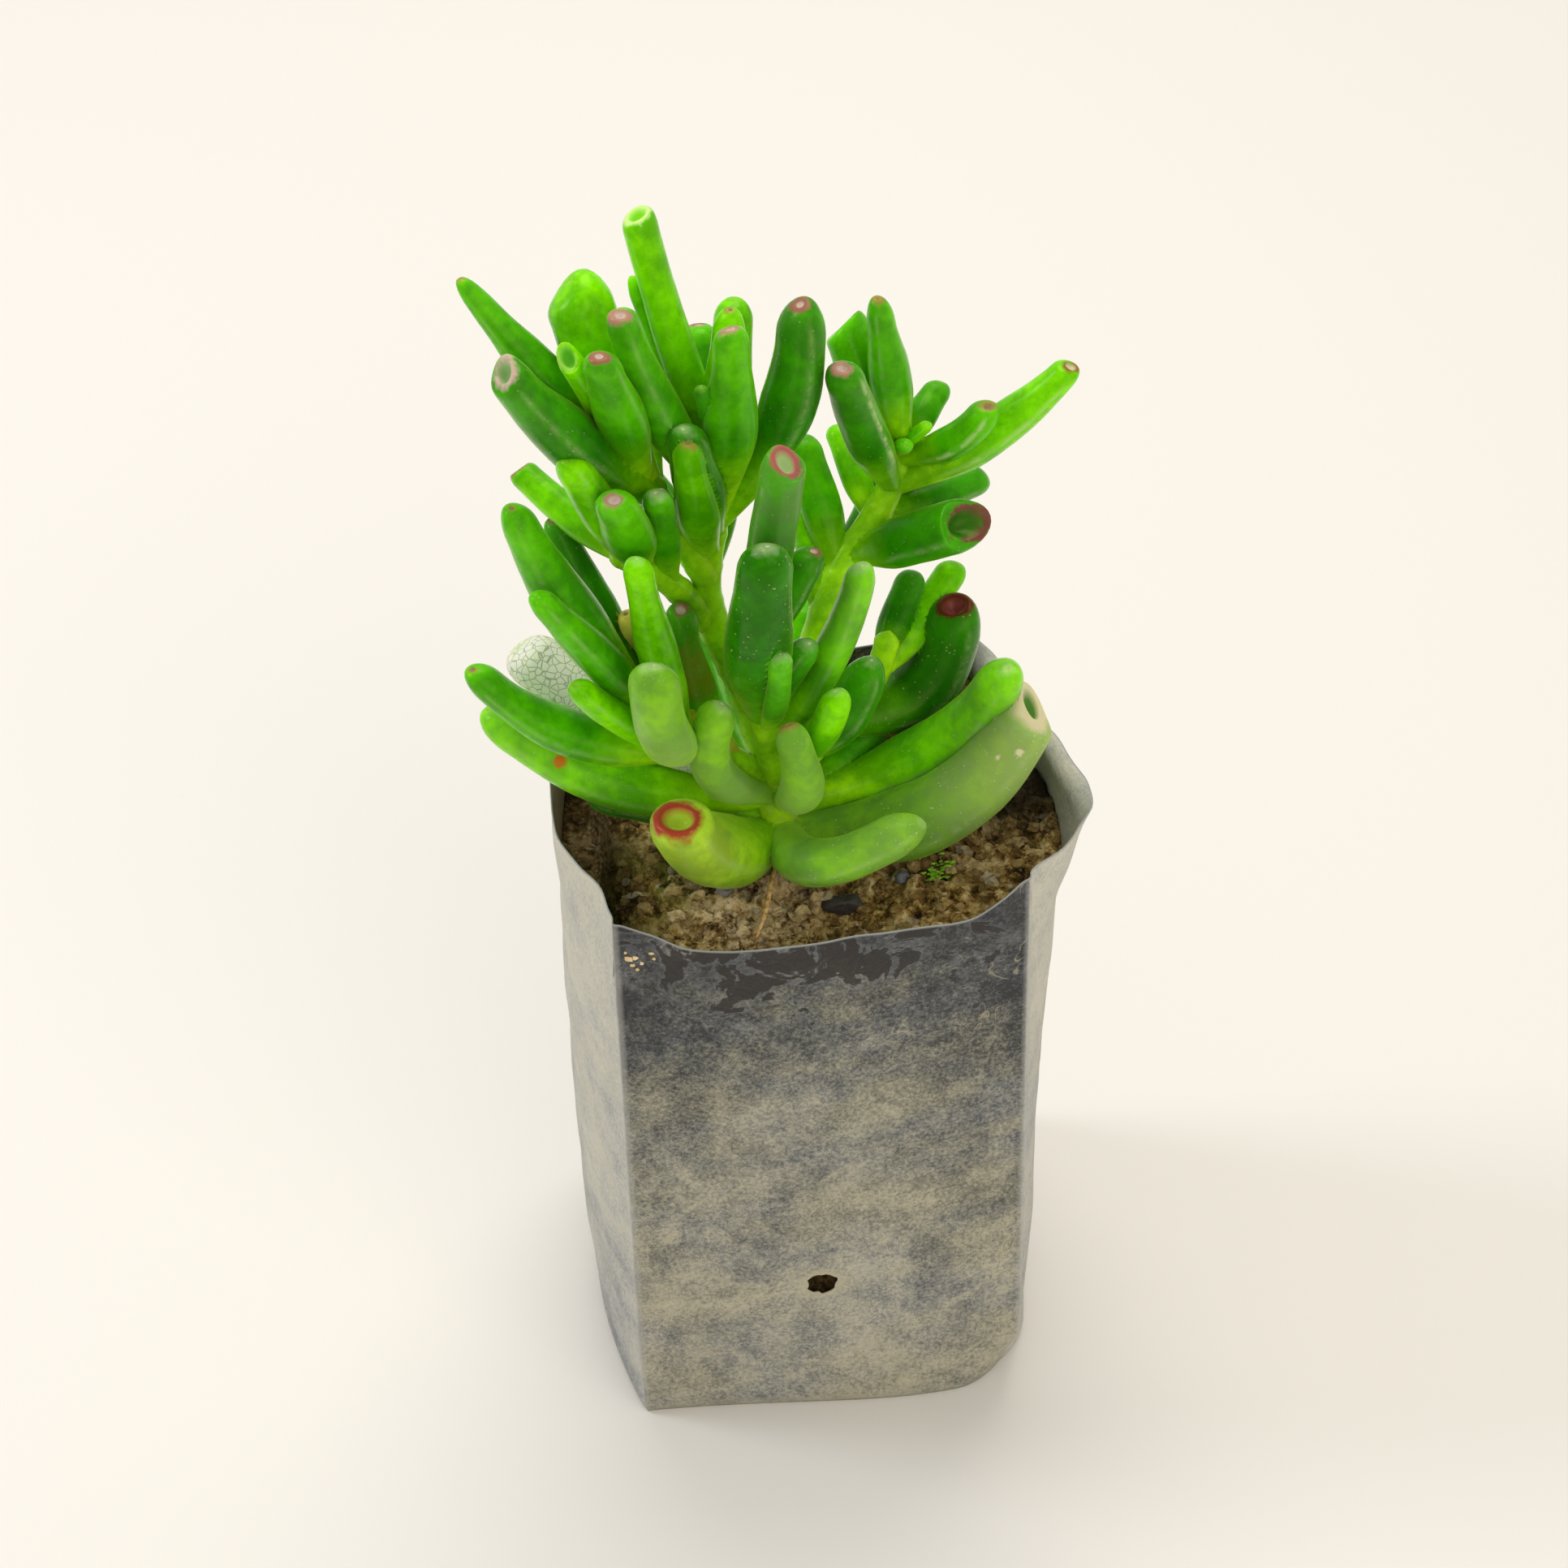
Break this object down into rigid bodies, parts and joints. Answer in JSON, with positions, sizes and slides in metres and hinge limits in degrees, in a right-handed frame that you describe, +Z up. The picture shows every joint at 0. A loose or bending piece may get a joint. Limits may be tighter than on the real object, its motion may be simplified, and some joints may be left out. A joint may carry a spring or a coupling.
{
  "type": "potted gollum jade",
  "caption": "Finger-leaved jade plant with a forked fleshy trunk, growing in a soil-filled, square-gusseted black film nursery bag that stands on its flat folded foot.",
  "frame": {"origin": "on the floor under the middle of the bag's flat foot", "axes": "+Z up along the bag and the trunk, -Y toward the panel that faces the viewer, +X to the viewer's right along that panel"},
  "size_m": [0.1225, 0.0902, 0.2688],
  "materials": {
    "film": "thin black polythene film, dull, creased and dusty",
    "soil": "dry brown potting soil with crumbs and grit",
    "leaf": "fleshy bright green leaf, waxy and half glossy, tips flushed red",
    "young_leaf": "fleshy yellow-green young leaf, waxy and half glossy",
    "low_leaf": "fleshy old leaf and trunk, grey-green bloom over green, half dull",
    "dark_stone": "rough dark grey stone",
    "grey_stone": "rough light grey stone"
  },
  "bodies": {
    "root": {"grow_bag": "film", "soil": "soil", "trunk": "low_leaf", "shoot_top": "leaf", "shoot_far_left": "leaf", "shoot_left": "young_leaf", "shoot_low_left": "leaf", "shoot_front": "leaf", "shoot_right": "leaf", "shoot_low_right": "leaf", "stone_dark": "dark_stone", "stone_grey_right": "grey_stone", "stone_grey_left": "grey_stone"}
  },
  "joints": []
}
